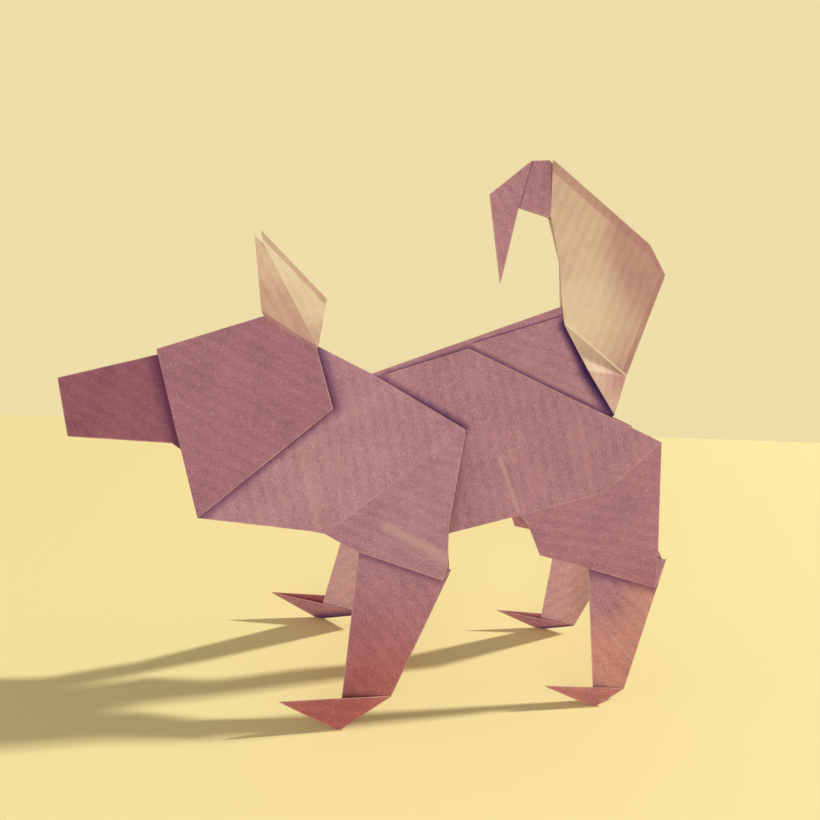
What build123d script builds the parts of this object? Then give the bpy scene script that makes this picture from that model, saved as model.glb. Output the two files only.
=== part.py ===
from build123d import *
import os

# A dog folded from one square of ribbed kraft paper, standing on its four paper feet.
# The origin is on the table under the middle of the dog: +Z up, the nose towards -X.
# Every flat panel of the folded sheet is a thin plate. Its corners are placed on the left side,
# at -Y, and the right side is its mirror image, joined to it along the ridges at Y = 0.
# Panels that share a fold share the two corners of that fold.

# Driving dimensions, in millimetres
dog_length = 120.0      # nose to the back corner of the hind leg
dog_height = 104.0      # table to the top of the tail
paper = 0.16            # thickness of the kraft sheet
chest_width = 19.0      # across the open bottom of the neck
cuff_width = 32.0       # across the elbows, where the lower front legs leave the upper ones
front_stance = 47.6     # between the points of the front feet
body_width = 14.8       # across the belly folds
hock_width = 21.2       # across the hocks, where the lower hind legs leave the thighs
hind_stance = 35.2      # between the points of the hind feet
tail_width = 3.8        # across the open front of the tail
ear_width = 6.6         # between the tips of the ears
foot_blunting = 0.35    # how far the table has pressed in the point of each foot

# Corners of each part of the dog: shares of the length from the middle towards the tail, of the
# half width of that part out from the mirror plane, and of the height above the table.
head_shares = {
    "nose_ridge": (-0.495, 0, 0.555),
    "nose_corner": (-0.476, 0.305, 0.458),
    "muzzle_ridge": (-0.350, 0, 0.604),
    "muzzle_jaw": (-0.322, 0.471, 0.455),
    "tuck_ridge": (-0.298, 0.040, 0.621),
    "tuck_jaw": (-0.268, 0.741, 0.418),
    "brow": (-0.351, 0, 0.614),
    "crown": (-0.190, 0, 0.683),
    "ear_notch": (-0.109, 0.156, 0.632),
    "cheek": (-0.080, 0.463, 0.527),
    "chest": (-0.279, 1, 0.334),
}
neck_shares = {
    "nape": (-0.185, 0, 0.674),
    "withers": (-0.017, 0, 0.587),
    "shoulder": (0.135, 0.526, 0.498),
    "brisket": (-0.083, 0.822, 0.302),
    "throat": (-0.107, 0.839, 0.308),
}
cuff_shares = {
    "forearm": (0.105, 0.780, 0.338),
    "elbow": (0.101, 1, 0.269),
    "cuff_back": (0.093, 1.048, 0.249),
    "cuff_front": (-0.032, 0.674, 0.279),
    "cuff_tip": (-0.060, 0.576, 0.291),
    "front_pleat_out": (0.109, 0.950, 0.262),
    "front_pleat_in": (0.110, 0.812, 0.259),
    "forearm_in": (0.105, 0.649, 0.329),
    "shin_top": (-0.027, 0.525, 0.303),
}
front_foot_shares = {
    "front_point": (-0.060, 1, 0),
    "front_heel_out": (0.018, 0.937, 0.055),
    "front_heel_in": (0.025, 0.769, 0.034),
    "front_toe": (-0.150, 1.021, 0.059),
}
body_shares = {
    "rump": (0.287, 0, 0.731),
    "rump_edge": (0.298, 0.096, 0.701),
    "tail_gate": (0.384, 0.660, 0.538),
    "tail_root": (0.294, 0.142, 0.699),
    "tail_flare": (0.334, 0.539, 0.618),
    "hip_front": (-0.001, 0.032, 0.584),
    "hip_step": (0.137, 0.096, 0.644),
    "hip": (0.463, 0.986, 0.492),
    "haunch": (0.372, 1.093, 0.393),
    "belly": (0.233, 1, 0.343),
    "belly_front": (0.120, 0.922, 0.304),
    "crimp_low": (0.032, 0.859, 0.273),
}
thigh_shares = {
    "hock": (0.469, 1, 0.278),
    "thigh_back": (0.468, 1.089, 0.215),
    "thigh_middle": (0.347, 0.933, 0.249),
    "thigh_front": (0.293, 0.865, 0.263),
    "thigh_tip": (0.270, 0.836, 0.269),
    "groin": (0.248, 0.738, 0.325),
    "hind_pleat_out": (0.489, 0.906, 0.265),
    "hind_pleat_in": (0.488, 0.792, 0.260),
    "haunch_in": (0.472, 0.783, 0.290),
    "hind_shin_top": (0.353, 0.830, 0.268),
}
hind_foot_shares = {
    "hind_point": (0.363, 1, 0),
    "hind_heel_out": (0.413, 0.966, 0.034),
    "hind_heel_in": (0.423, 0.830, 0.021),
    "hind_toe": (0.275, 1.006, 0.045),
}
tail_shares = {
    "tail_hinge": (0.414, 0, 0.604),
    "tail_knee": (0.461, 0, 0.804),
    "tail_back": (0.426, 0.274, 0.858),
    "tail_top": (0.244, 1, 0.995),
    "tail_lip": (0.252, 0.521, 0.897),
    "tail_hollow": (0.277, 0.105, 0.813),
    "tail_front": (0.286, 0.373, 0.745),
    "curl_top": (0.214, 0, 0.991),
    "curl_low": (0.198, 0.340, 0.908),
    "curl_lip_top": (0.243, 0.040, 0.995),
    "curl_lip_low": (0.251, 0.508, 0.894),
    "curl_tuck_top": (0.280, 0.690, 0.955),
    "curl_tuck_low": (0.286, 0.260, 0.875),
    "tip_bend": (0.151, 0, 0.926),
    "tip_end": (0.181, 0.080, 0.769),
}
ear_shares = {
    "ear_tip": (-0.209, 1, 0.821),
    "ear_point": (-0.200, 1.041, 0.832),
    "ear_cleft": (-0.195, 1.011, 0.807),
    "ear_front": (-0.195, 0.045, 0.692),
    "ear_back": (-0.096, 0.180, 0.720),
    "ear_base": (-0.106, 0.333, 0.632),
    "ear_tuck_front": (-0.171, 0.164, 0.645),
    "ear_tuck_back": (-0.130, 0.176, 0.622),
}

# The flat panels, each by its corners in order round its outline
panels = {
    "muzzle": ("nose_ridge", "nose_corner", "muzzle_jaw", "muzzle_ridge"),
    "muzzle_tuck": ("muzzle_ridge", "muzzle_jaw", "tuck_jaw"),
    "muzzle_tuck_top": ("muzzle_ridge", "tuck_jaw", "tuck_ridge"),
    "hood_front": ("brow", "crown", "chest"),
    "hood_cheek": ("crown", "ear_notch", "cheek", "chest"),
    "neck_lining": ("brow", "nape", "chest"),
    "neck": ("nape", "withers", "brisket", "throat", "chest"),
    "shoulder": ("withers", "shoulder", "brisket"),
    "crimp": ("withers", "shoulder", "crimp_low"),
    "upper_arm": ("shoulder", "forearm", "elbow", "cuff_back", "cuff_front", "cuff_tip", "brisket"),
    "cuff_return": ("cuff_front", "cuff_back", "front_pleat_out"),
    "cuff_return_front": ("cuff_front", "front_pleat_out", "shin_top"),
    "shin_out": ("shin_top", "front_point", "front_heel_out"),
    "calf_out": ("shin_top", "front_heel_out", "front_pleat_out"),
    "shin_in": ("shin_top", "front_point", "front_heel_in"),
    "calf_in": ("shin_top", "front_heel_in", "front_pleat_in"),
    "arm_lining": ("shoulder", "brisket", "shin_top"),
    "arm_lining_back": ("shoulder", "shin_top", "forearm_in"),
    "arm_lining_low": ("shin_top", "front_pleat_in", "forearm_in"),
    "front_foot_out": ("front_toe", "front_heel_out", "front_point"),
    "front_foot_in": ("front_toe", "front_heel_in", "front_point"),
    "rump_wall": ("withers", "rump", "rump_edge", "tail_gate", "belly"),
    "hip": ("withers", "hip_front", "hip_step", "hip", "haunch", "belly", "belly_front", "crimp_low"),
    "thigh": ("hip", "hock", "thigh_back", "thigh_middle", "thigh_front", "thigh_tip", "groin", "belly"),
    "thigh_return": ("thigh_middle", "thigh_back", "hind_pleat_out"),
    "thigh_return_front": ("thigh_middle", "hind_pleat_out", "hind_shin_top"),
    "hind_shin_out": ("hind_shin_top", "hind_point", "hind_heel_out"),
    "hind_calf_out": ("hind_shin_top", "hind_heel_out", "hind_pleat_out"),
    "hind_shin_in": ("hind_shin_top", "hind_point", "hind_heel_in"),
    "hind_calf_in": ("hind_shin_top", "hind_heel_in", "hind_pleat_in"),
    "thigh_lining": ("hip", "belly", "hind_shin_top"),
    "thigh_lining_back": ("hip", "hind_shin_top", "haunch_in"),
    "thigh_lining_low": ("hind_shin_top", "hind_pleat_in", "haunch_in"),
    "hind_foot_out": ("hind_toe", "hind_heel_out", "hind_point"),
    "hind_foot_in": ("hind_toe", "hind_heel_in", "hind_point"),
    "tail_return": ("rump_edge", "tail_hinge", "tail_gate"),
    "tail_base": ("tail_root", "tail_hinge", "tail_flare"),
    "tail_base_low": ("tail_flare", "tail_hinge", "tail_gate"),
    "tail_lower": ("tail_root", "tail_hinge", "tail_knee"),
    "tail_middle": ("tail_root", "tail_knee", "tail_hollow", "tail_front"),
    "tail_upper": ("tail_hollow", "tail_knee", "tail_back", "tail_top", "tail_lip"),
    "tail_curl": ("curl_top", "curl_lip_top", "curl_lip_low", "curl_low"),
    "curl_tuck": ("curl_lip_top", "curl_tuck_top", "curl_lip_low"),
    "curl_tuck_lower": ("curl_tuck_top", "curl_tuck_low", "curl_lip_low"),
    "tail_tip_upper": ("curl_top", "tip_bend", "curl_low"),
    "tail_tip": ("tip_bend", "tip_end", "curl_low"),
    "ear_front": ("ear_tip", "ear_front", "ear_base", "ear_cleft"),
    "ear_back": ("ear_point", "ear_back", "ear_base", "ear_cleft"),
    "ear_tuck": ("ear_front", "ear_base", "ear_tuck_back"),
    "ear_tuck_front": ("ear_front", "ear_tuck_back", "ear_tuck_front"),
}


def place_corners(shares, width):
    """Corners on the left side, from their shares of the length, half the width and the height"""
    return {
        name: Vector(along * dog_length, -out * width / 2, up * dog_height - foot_blunting)
        for name, (along, out, up) in shares.items()
    }


def panel_plane(outline):
    """The plane through the middle of a panel's corners, square to their mean normal"""
    centre = sum(outline, Vector(0, 0, 0)) / len(outline)
    following = outline[1:] + outline[:1]
    normal = sum(((a - centre).cross(b - centre) for a, b in zip(outline, following)), Vector(0, 0, 0))
    return Plane(origin=centre, x_dir=outline[1] - outline[0], z_dir=normal)


corners = {
    **place_corners(head_shares, chest_width),
    **place_corners(neck_shares, chest_width),
    **place_corners(cuff_shares, cuff_width),
    **place_corners(front_foot_shares, front_stance),
    **place_corners(body_shares, body_width),
    **place_corners(thigh_shares, hock_width),
    **place_corners(hind_foot_shares, hind_stance),
    **place_corners(tail_shares, tail_width),
    **place_corners(ear_shares, ear_width),
}

with BuildPart() as folded_dog:
    for panel, names in panels.items():
        outline = [corners[name] for name in names]
        plane = panel_plane(outline)
        flat_outline = [plane.to_local_coords(corner) for corner in outline]
        with BuildSketch(plane):
            with BuildLine():
                Polyline(*[(corner.X, corner.Y) for corner in flat_outline], close=True)
            make_face()
            offset(amount=paper / 2, kind=Kind.INTERSECTION)
    extrude(amount=paper / 2, both=True)
    mirror(about=Plane.XZ)
    split(bisect_by=Plane.XY, keep=Keep.TOP)

folded_dog.part.label = "folded_dog"

os.makedirs("parts", exist_ok=True)
export_step(folded_dog.part, "parts/folded_dog.step")
print("solids", len(folded_dog.part.solids()), "volume", round(folded_dog.part.volume, 1))
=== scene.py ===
"""A dog folded from one square of ribbed kraft paper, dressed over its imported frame."""

import logging
import math
from dataclasses import dataclass, field
from enum import Enum

import bpy
import numpy as np
from mathutils import Matrix


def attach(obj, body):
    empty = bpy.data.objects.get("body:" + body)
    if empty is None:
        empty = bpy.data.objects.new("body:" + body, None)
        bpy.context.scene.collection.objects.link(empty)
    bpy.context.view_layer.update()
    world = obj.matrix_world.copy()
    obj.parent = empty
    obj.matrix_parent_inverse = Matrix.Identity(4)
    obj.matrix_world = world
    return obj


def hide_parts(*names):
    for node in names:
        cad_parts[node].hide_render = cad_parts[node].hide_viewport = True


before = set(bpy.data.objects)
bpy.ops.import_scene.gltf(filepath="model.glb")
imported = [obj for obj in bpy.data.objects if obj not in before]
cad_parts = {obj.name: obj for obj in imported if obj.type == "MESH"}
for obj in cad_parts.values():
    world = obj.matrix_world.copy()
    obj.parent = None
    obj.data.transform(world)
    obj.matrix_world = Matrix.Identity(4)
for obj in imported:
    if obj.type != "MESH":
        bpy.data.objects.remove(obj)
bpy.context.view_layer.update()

log = logging.getLogger("folded_dog")

NODE = "folded_dog"
MILLIMETRE = 0.001

Array = np.ndarray
Corners = dict[str, tuple[float, float, float]]
Places = dict[str, Array]
Mark = tuple[float, float]
Glow = tuple[tuple[str, float], ...]
EdgeWidths = tuple[tuple[str, str, float], ...]
Tree = bpy.types.NodeTree
Socket = bpy.types.NodeSocket

# Least length that a vector is divided by
TINY = 1e-12

# Waves in the paper: how many, their lengths in millimetres, and what brings their mean near to 1
WAVES = 4
WAVE_LENGTHS = (15, 40)
WAVE_GAIN = 1.6

# What a point reads that is near no edge (metres), in no edge's width (shares) or by no line
NO_EDGE = 1.0
NO_WIDTH = 9.0
NO_LINE = (0.0, 99.0, 0.0)


class Side(Enum):
    """The two sides of the dog, as the sign of Y. The photograph shows the left side."""

    LEFT = -1
    RIGHT = 1


class Ply(Enum):
    """How many layers of the sheet lie in a part of the dog."""

    FOLDED = "folded"
    SINGLE = "single"


@dataclass(frozen=True)
class DogSizes:
    """Sizes of the whole dog, in metres, as the frame has them.

    Attributes:
        length: nose to the back corner of the hind leg.
        height: table to the top of the tail.
        blunting: how far the table has pressed in the point of each foot.
        thickness: one sheet of kraft paper.
        step: distance between points of a panel's mesh.
        sag: how far the middle of a large panel stands off its plane.
        full_sag_reach: from its middle to its outline, the least that a panel needs for its whole sag.
        sag_mean: share of the sag that every panel has.
        sag_wave: share of the sag that comes and goes with the paper's waves.
        rim_steps: facets round the edge of the sheet.
    """

    length: float = 120.0 * MILLIMETRE
    height: float = 104.0 * MILLIMETRE
    blunting: float = 0.35 * MILLIMETRE
    thickness: float = 0.16 * MILLIMETRE
    step: float = 0.8 * MILLIMETRE
    sag: float = 0.16 * MILLIMETRE
    full_sag_reach: float = 12 * MILLIMETRE
    sag_mean: float = 0.65
    sag_wave: float = 0.5
    rim_steps: int = 4


SIZES = DogSizes()


@dataclass(frozen=True)
class Crease:
    """A faint pale line where a fold was pressed and opened again, or a dark line.

    Attributes:
        start: one end, as shares of the dog's length from the middle and of its height.
        end: the other end.
        half_width: millimetres from its middle to its edge.
        strength: how pale it is, or for a dark line how dark, from 0 to 1.
    """

    start: Mark
    end: Mark
    half_width: float = 0.25
    strength: float = 0.5


@dataclass(frozen=True)
class Panel:
    """One flat panel between folds.

    Attributes:
        corners: names of its corners, in order round its outline.
        ribs: direction of the paper's ribs, in degrees from the tail's direction towards the ground.
        shade: painted shade: how much lighter or darker this panel is painted for the light that falls on
        it, beside 1 for the whole dog, as a share of its sRGB colour.
        ground: how much of the painted reddish light from the table it takes, from 0 to 1.
        plain: edges that are no pressed fold, so they have no pale line.
        hems: edges with a second layer turned in behind them: two corners and its width in millimetres.
        painted_shadow_edges: edges of a layer that lies over this panel: two corners, and how far from it
            in
        millimetres painted shadow darkens the paper.
        painted_gap_shadow_edges: edges along which the paper turns away into an opening: two corners, and
            how far the
        painted shadow of the opening reaches in millimetres.
        creases: up to two opened folds, which are pale.
        dark_lines: up to one dark line, in the tint of the painted shadow.
        glow: corners where daylight through a single layer is painted as paler paper, or isn't, and its
        strength there from 0 to 1.
    """

    corners: tuple[str, ...]
    ribs: float = 75.0
    shade: float = 1.0
    ground: float = 1.0
    plain: tuple[tuple[str, str], ...] = ()
    hems: EdgeWidths = ()
    painted_shadow_edges: EdgeWidths = ()
    painted_gap_shadow_edges: EdgeWidths = ()
    creases: tuple[Crease, ...] = ()
    dark_lines: tuple[Crease, ...] = ()
    glow: Glow = ()


Panels = dict[str, Panel]


def unit(vectors: Array) -> Array:
    """Vectors at length one: each divided by its own length."""
    return vectors / np.maximum(np.linalg.norm(vectors, axis=-1, keepdims=True), TINY)


def mean_normal(outline: Array) -> Array:
    """Normal of a flat outline: the sum of the cross products of neighbouring corners.

    Args:
        outline: corners, one a row.

    Returns:
        The unit normal, from which the outline runs anticlockwise.
    """
    arms = outline - outline.mean(axis=0)
    return unit(np.cross(arms, np.roll(arms, -1, axis=0)).sum(axis=0))


def walk_outline(outline: Array, step: float) -> tuple[Array, Array]:
    """Points along a closed outline, with every corner kept.

    A point is corner + share * (next corner - corner), for shares from 0 up to 1 in equal steps.

    Args:
        outline: corners, one a row.
        step: greatest distance between two points.

    Returns:
        The points, and for each the number of the edge that it lies on.
    """
    runs, edges = [], []
    for number, (start, end) in enumerate(zip(outline, np.roll(outline, -1, axis=0))):
        count = max(2, math.ceil(np.linalg.norm(end - start) / step))
        shares = np.arange(count)[:, None] / count
        runs.append(start + shares * (end - start))
        edges.append(np.full(count, number))
    return np.vstack(runs), np.concatenate(edges)


def slow_waves(points: Array, seed: int) -> Array:
    """A smooth field between about -1 and 1: the mean of a few plane waves, times a gain.

    Args:
        points: positions in metres, one a row.
        seed: picks the waves' directions and phases.

    Returns:
        One value a point.
    """
    draw = np.random.default_rng(seed)
    directions = unit(draw.normal(size=(WAVES, 3)))
    lengths = draw.uniform(*WAVE_LENGTHS, WAVES) * MILLIMETRE
    phases = draw.uniform(0, 2 * math.pi, WAVES)
    return np.sin(2 * math.pi * (points @ directions.T) / lengths + phases).mean(axis=1) * WAVE_GAIN


def distance_to_edge(points: Array, start: Array, end: Array) -> Array:
    """Distance of points from the straight edge between two corners.

    Each point is set against start + share * (end - start), with the share of its nearest place
    on the line kept between 0 and 1.

    Args:
        points: positions, one a row.
        start: one corner.
        end: the other corner.

    Returns:
        One distance a point.
    """
    run = end - start
    share = np.clip((points - start) @ run / (run @ run), 0, 1)
    return np.linalg.norm(points - start - share[:, None] * run, axis=1)


@dataclass
class Plate:
    """One panel as a closed plate with a rounded rim.

    The middle surface is centre + r * (outline(s) - centre), for r from 0 to 1 and s round the
    outline, moved along the normal by sag * (1 - r squared) * (sag_mean + sag_wave * slow waves), so
    that the outline stays in its folds. The two faces lie half a thickness either side of it, and
    the rim is a half circle of that radius about the outline.

    Attributes:
        outline: corners, one a row, anticlockwise about the normal.
        normal: the side that the panel shows.
        seed: picks the waves.
        sizes: thickness, mesh step and sag.
    """

    outline: Array
    normal: Array
    seed: int
    sizes: DogSizes = SIZES

    def sheets(self) -> tuple[Array, Array]:
        """The plate's points in rings, from the middle of one face over the rim to the other.

        Returns:
            The points as rings by points by xyz, and the two poles that close the faces.
        """
        rim, edges = walk_outline(self.outline, self.sizes.step)
        centre = self.outline.mean(axis=0)
        reach = np.linalg.norm(rim - centre, axis=1)
        rings = max(2, math.ceil(reach.mean() / self.sizes.step))
        radius = np.arange(1, rings + 1)[:, None, None] / rings
        flat = centre + radius * (rim - centre)
        sag = self.sizes.sag * min(1.0, reach.min() / self.sizes.full_sag_reach)
        waves = self.bulge(flat.reshape(-1, 3)).reshape(rings, -1)
        surface = flat + (sag * (1 - radius[..., 0] ** 2) * waves)[..., None] * self.normal
        pole = centre + sag * self.bulge(centre[None]) * self.normal

        outward = np.cross(unit(np.roll(self.outline, -1, axis=0) - self.outline), self.normal)
        sideways = outward[edges]
        corner = np.r_[True, edges[1:] != edges[:-1]]
        sideways[corner] = unit(outward[edges[corner]] + outward[edges[corner] - 1])
        half = self.sizes.thickness / 2
        angles = np.linspace(math.pi / 2, -math.pi / 2, self.sizes.rim_steps + 1)[1:-1, None, None]
        bead = surface[-1] + half * (np.sin(angles) * self.normal + np.cos(angles) * sideways)
        lift = half * self.normal
        whole = np.concatenate([surface + lift, bead, surface[::-1] - lift])
        return whole, np.stack([pole + lift, pole - lift]).reshape(2, 3)

    def bulge(self, points: Array) -> Array:
        """Share of the sag at points of the plane: its mean and the paper's waves."""
        return self.sizes.sag_mean + self.sizes.sag_wave * slow_waves(points, self.seed)

    def mesh(self) -> tuple[Array, Array]:
        """Points of the plate and its faces, pressed flat where they touch the table.

        Returns:
            The points, and the faces as four numbers each, with -1 last in a triangle.
        """
        rings, poles = self.sheets()
        count, around = rings.shape[:2]
        row = np.arange(count - 1)[:, None] * around
        column = np.arange(around)[None, :]
        following = (column + 1) % around
        walls = np.stack(
            [row + column, row + around + column, row + around + following, row + following], axis=-1
        ).reshape(-1, 4)
        first, second = column[0], following[0]
        front, last = count * around, (count - 1) * around
        none = np.full(around, -1)
        caps = [
            np.stack([np.full(around, front), first, second, none], axis=-1),
            np.stack([np.full(around, front + 1), last + second, last + first, none], axis=-1),
        ]
        points = np.vstack([rings.reshape(-1, 3), poles])
        points[:, 2] = np.maximum(points[:, 2], 0)
        return points, np.vstack([walls, *caps])


@dataclass
class PaperMesh:
    """Points, faces and the paper's own measures, gathered for one piece."""

    points: list[Array] = field(default_factory=list)
    faces: list[Array] = field(default_factory=list)
    measures: dict[str, list[Array]] = field(default_factory=dict)
    count: int = 0

    def add(self, points: Array, faces: Array, **measures: Array) -> None:
        """Adds one closed plate.

        Args:
            points: its points.
            faces: its faces, as Plate.mesh gives them.
            measures: one value or vector a point, by name.
        """
        self.points.append(points)
        self.faces.append(np.where(faces < 0, -1, faces + self.count))
        for title, values in measures.items():
            self.measures.setdefault(title, []).append(values)
        self.count += len(points)

    def make(self, name: str) -> bpy.types.Object:
        """Makes the object, with its ribs as a UV map and its other measures as attributes.

        Args:
            name: the piece's name.

        Returns:
            The linked object, at the origin.
        """
        mesh = bpy.data.meshes.new(name)
        faces = [face if face[3] >= 0 else face[:3] for face in np.vstack(self.faces).tolist()]
        mesh.from_pydata(np.vstack(self.points).tolist(), [], faces)
        loops = np.empty(len(mesh.loops), dtype=np.int32)
        mesh.loops.foreach_get("vertex_index", loops)
        for title, values in self.measures.items():
            joined = np.concatenate(values).astype(np.float32)
            if joined.ndim == 1:
                mesh.attributes.new(title, "FLOAT", "POINT").data.foreach_set("value", joined)
            elif joined.shape[1] == 2:
                mesh.uv_layers.new(name=title).data.foreach_set("uv", joined[loops].ravel())
            else:
                vectors = mesh.attributes.new(title, "FLOAT_VECTOR", "POINT")
                vectors.data.foreach_set("vector", joined.ravel())
        mesh.update()
        piece = bpy.data.objects.new(name, mesh)
        bpy.context.scene.collection.objects.link(piece)
        return piece


@dataclass
class FoldedPart:
    """A part of the dog: its corners as shares of the dog's sizes, and the panels between them.

    A corner is (share of the length from the middle towards the tail, share of the part's half
    width, share of the height). The left side is made from the shares, and the right side is its
    mirror image, with its own waves in the paper.
    """

    name: str = "part"
    ply: Ply = Ply.FOLDED
    panels: Panels = field(default_factory=dict)
    seed: int = 0

    def tables(self) -> list[tuple[Corners, float]]:
        """Tables of corners, each with the width that its shares are of."""
        return []

    def place(self, side: Side) -> Places:
        """Corners of one side: shares times the length, half the width and the height.

        Args:
            side: left or right.

        Returns:
            The corners in metres, by name.
        """
        return {
            title: np.array([
                along * SIZES.length,
                side.value * out * width / 2,
                up * SIZES.height - SIZES.blunting,
            ])
            for corners, width in self.tables()
            for title, (along, out, up) in corners.items()
        }

    def build(self, places: dict[Side, Places]) -> bpy.types.Object:
        """Makes both sides of the part as one piece.

        Args:
            places: all the dog's corners on each side.

        Returns:
            The piece.
        """
        mesh = PaperMesh()
        for side in Side:
            for number, panel in enumerate(self.panels.values()):
                outline = np.array([places[side][title] for title in panel.corners])
                normal = mean_normal(outline)
                if normal[1] * side.value < 0:
                    outline, normal = outline[::-1], -normal
                seed = self.seed + 2 * number + (side is Side.RIGHT)
                points, faces = Plate(outline, normal, seed).mesh()
                mesh.add(
                    points,
                    faces,
                    ribs=self.rib_places(points, normal, panel, side),
                    edge=self.edge_distances(points, panel, places[side]),
                    hem=self.edge_shares(points, panel.hems, places[side]),
                    # Painted shadow beside a layer that lies over the panel, and in openings
                    pinch=self.edge_shares(points, panel.painted_shadow_edges, places[side]),
                    gap=self.edge_shares(points, panel.painted_gap_shadow_edges, places[side]),
                    # Painted daylight through the paper
                    tone=self.painted_glow_strengths(points, panel, places[side]),
                    # Painted shade of the panel
                    shade=np.full(len(points), panel.shade),
                    # Painted reddish light from the table
                    ground=np.full(len(points), panel.ground),
                    crease=self.line_places(points, panel.creases[:1]),
                    streak=self.line_places(points, panel.creases[1:]),
                    # Dark lines in the tint of the painted shadow
                    score=self.line_places(points, panel.dark_lines),
                )
        piece = mesh.make(self.name)
        log.info("%s: %d panels a side, %d points", self.name, len(self.panels), mesh.count)
        return piece

    def dress(self, piece: bpy.types.Object, finishes: dict[Ply, bpy.types.Material]) -> None:
        """Gives the piece its finish and its place in the frame.

        Args:
            piece: the part's mesh.
            finishes: a material for each ply.
        """
        piece.data.materials.append(finishes[self.ply])
        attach(piece, "root")
        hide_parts(NODE)

    def rib_places(self, points: Array, normal: Array, panel: Panel, side: Side) -> Array:
        """Place of each point across and along the ribs, in millimetres.

        The ribs' direction is laid in the panel, and the places are dot products with it and with
        the direction square to it.
        """
        angle = math.radians(panel.ribs)
        along = np.array([math.cos(angle), 0.0, -math.sin(angle)])
        along = unit(along - (along @ normal) * normal)
        across = np.cross(normal, along) * side.value
        return np.stack([points @ across, points @ along], axis=1) / MILLIMETRE

    def edge_distances(self, points: Array, panel: Panel, places: Places) -> Array:
        """Distance to the nearest pressed edge of the panel, in millimetres."""
        edges = zip(panel.corners, panel.corners[1:] + panel.corners[:1])
        pressed = [edge for edge in edges if edge not in panel.plain and edge[::-1] not in panel.plain]
        runs = [distance_to_edge(points, places[start], places[end]) for start, end in pressed]
        return np.min([np.full(len(points), NO_EDGE), *runs], axis=0) / MILLIMETRE

    def edge_shares(self, points: Array, edges: EdgeWidths, places: Places) -> Array:
        """Distance from the nearest of some edges over its width, seen from the side.

        It is under 1 within the width.

        Args:
            points: places on the panel, one a row.
            edges: two corners each, and a width in millimetres.
            places: the corners of this side.

        Returns:
            One share a point.
        """
        flat = np.array([1.0, 0.0, 1.0])
        shares = [
            distance_to_edge(points * flat, places[start] * flat, places[end] * flat)
            / (width * MILLIMETRE)
            for start, end, width in edges
        ]
        return np.min([np.full(len(points), NO_WIDTH), *shares], axis=0)

    def painted_glow_strengths(self, points: Array, panel: Panel, places: Places) -> Array:
        """How far painted daylight shows through: the mean of the strengths at the glow's corners.

        It is weighted by 1 / distance to the fourth, as seen from the side.

        Args:
            points: places on the panel, one a row.
            panel: the panel, with its glow.
            places: the corners of this side.

        Returns:
            One strength a point.
        """
        if not panel.glow:
            return np.zeros(len(points))
        spots = np.array([places[title][[0, 2]] for title, _ in panel.glow])
        strengths = np.array([strength for _, strength in panel.glow])
        squares = ((points[:, None, [0, 2]] - spots) ** 2).sum(axis=2)
        near = 1 / (squares + MILLIMETRE**2) ** 2
        return near @ strengths / near.sum(axis=1)

    def line_places(self, points: Array, lines: tuple[Crease, ...]) -> Array:
        """Place of each point by a line: share along it, half widths off it, and its strength."""
        if not lines:
            return np.tile(NO_LINE, (len(points), 1))
        line = lines[0]
        size = np.array([SIZES.length, SIZES.height])
        start, end = np.array(line.start) * size, np.array(line.end) * size
        run, arm = end - start, points[:, [0, 2]] - start
        off = (arm[:, 0] * run[1] - arm[:, 1] * run[0]) / np.linalg.norm(run)
        off /= line.half_width * MILLIMETRE
        return np.stack([arm @ run / (run @ run), off, np.full(len(points), line.strength)], axis=1)


# Painted daylight through one layer: most at the open front edge, none at the folded back
TAIL_GLOW: Glow = (
    ("tail_root", 1.0), ("tail_front", 1.0), ("tail_hollow", 0.6), ("tail_lip", 0.55), ("tail_top", 0.3),
    ("tail_flare", 0.75), ("tail_gate", 0.65), ("tail_hinge", 0.2), ("tail_knee", 0.0), ("tail_back", 0.0),
)
# Painted daylight through the ears' single layer
EAR_FRONT_GLOW: Glow = (("ear_tip", 0.4), ("ear_cleft", 0.4), ("ear_front", 0.2), ("ear_base", 0.0))
EAR_BACK_GLOW: Glow = (("ear_point", 1.0), ("ear_cleft", 1.0), ("ear_back", 0.85), ("ear_base", 0.3))
# Painted daylight on the hind shins, most at the back pleat
HIND_SHIN_GLOW: Glow = (
    ("hind_pleat_out", 0.7), ("hind_heel_out", 0.45), ("hind_point", 0.3), ("hind_shin_top", 0.0),
)
# Painted shadow of the hood's edge on the muzzle and on its tucked part
HOOD_SHADOW: EdgeWidths = (("brow", "chest", 3.2),)
TAIL_CREASE = Crease((0.282, 0.709), (0.426, 0.594), 0.36, 0.8)


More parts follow.
